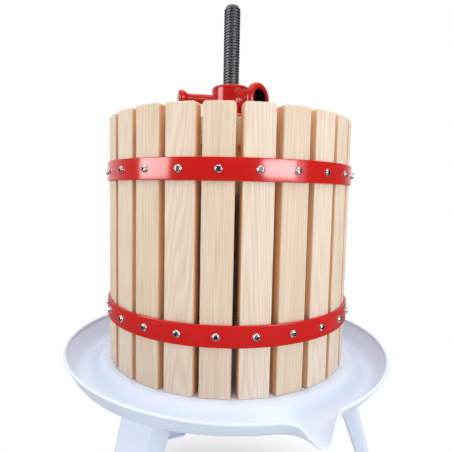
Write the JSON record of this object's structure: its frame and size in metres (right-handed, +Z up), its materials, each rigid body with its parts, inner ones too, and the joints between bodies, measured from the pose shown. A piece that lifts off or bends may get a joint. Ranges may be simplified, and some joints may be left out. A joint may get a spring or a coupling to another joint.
{
  "type": "fruit press",
  "caption": "Basket press for fruit: a slatted wooden cage with steel hoops on a footed drip tray with a spout, pressed by a threaded head on a fixed upright spindle.",
  "frame": {"origin": "on the ground, on the spindle's axis, at the centre of the circle of the three floor bolt holes", "axes": "+Z up along the spindle; -Y midway between the two front legs, with the spout 2.6 degrees off it towards -X; +X to the right of someone who faces the spout"},
  "size_m": [0.536, 0.5526, 0.809],
  "materials": {
    "slat_wood": "planed pale hardwood, waxed",
    "block_wood": "planed hardwood, waxed",
    "red_enamel": "glossy red enamel",
    "white_enamel": "satin cool white enamel",
    "dark_steel": "blackened rolled thread, oiled",
    "bright_steel": "bright stainless steel"
  },
  "bodies": {
    "stand": {"tray": "white_enamel", "leg_front_left": "white_enamel", "leg_front_right": "white_enamel", "leg_rear": "white_enamel", "base_cross": "white_enamel", "leg_bolts": "bright_steel", "leg_nuts": "bright_steel", "spindle": "dark_steel", "spindle_nut": "dark_steel"},
    "cage": {"slat_01": "slat_wood", "slat_02": "slat_wood", "slat_03": "slat_wood", "slat_04": "slat_wood", "slat_05": "slat_wood", "slat_06": "slat_wood", "slat_07": "slat_wood", "slat_08": "slat_wood", "slat_09": "slat_wood", "slat_10": "slat_wood", "slat_11": "slat_wood", "slat_12": "slat_wood", "slat_13": "slat_wood", "slat_14": "slat_wood", "slat_15": "slat_wood", "slat_16": "slat_wood", "slat_17": "slat_wood", "slat_18": "slat_wood", "slat_19": "slat_wood", "slat_20": "slat_wood", "slat_21": "slat_wood", "slat_22": "slat_wood", "slat_23": "slat_wood", "slat_24": "slat_wood", "upper_hoop": "red_enamel", "lower_hoop": "red_enamel", "upper_hoop_screws": "bright_steel", "lower_hoop_screws": "bright_steel"},
    "press_stack": {"pressure_disc": "red_enamel", "thrust_bearing": "bright_steel", "upper_block_left": "block_wood", "upper_block_right": "block_wood", "lower_block_left": "block_wood", "lower_block_right": "block_wood", "press_plate_left": "block_wood", "press_plate_right": "block_wood"},
    "head": {"press_head": "red_enamel"}
  },
  "joints": [
    {"name": "cage_lift", "type": "slide", "parent": "stand", "child": "cage", "axis": [0, 0, 1], "range_m": [0, 0.52]},
    {"name": "press_travel", "type": "slide", "parent": "stand", "child": "press_stack", "axis": [0, 0, -1], "range_m": [-0.1116, 0.2251]},
    {"name": "head_turn", "type": "hinge", "parent": "press_stack", "child": "head", "pos_m": [0, 0, 0.646], "axis": [0, 0, -1], "range_deg": [-10045, 20260]}
  ],
  "couplings": [
    {"joint": "head_turn", "follows": "press_travel", "rad_per_m": 1570.8}
  ]
}
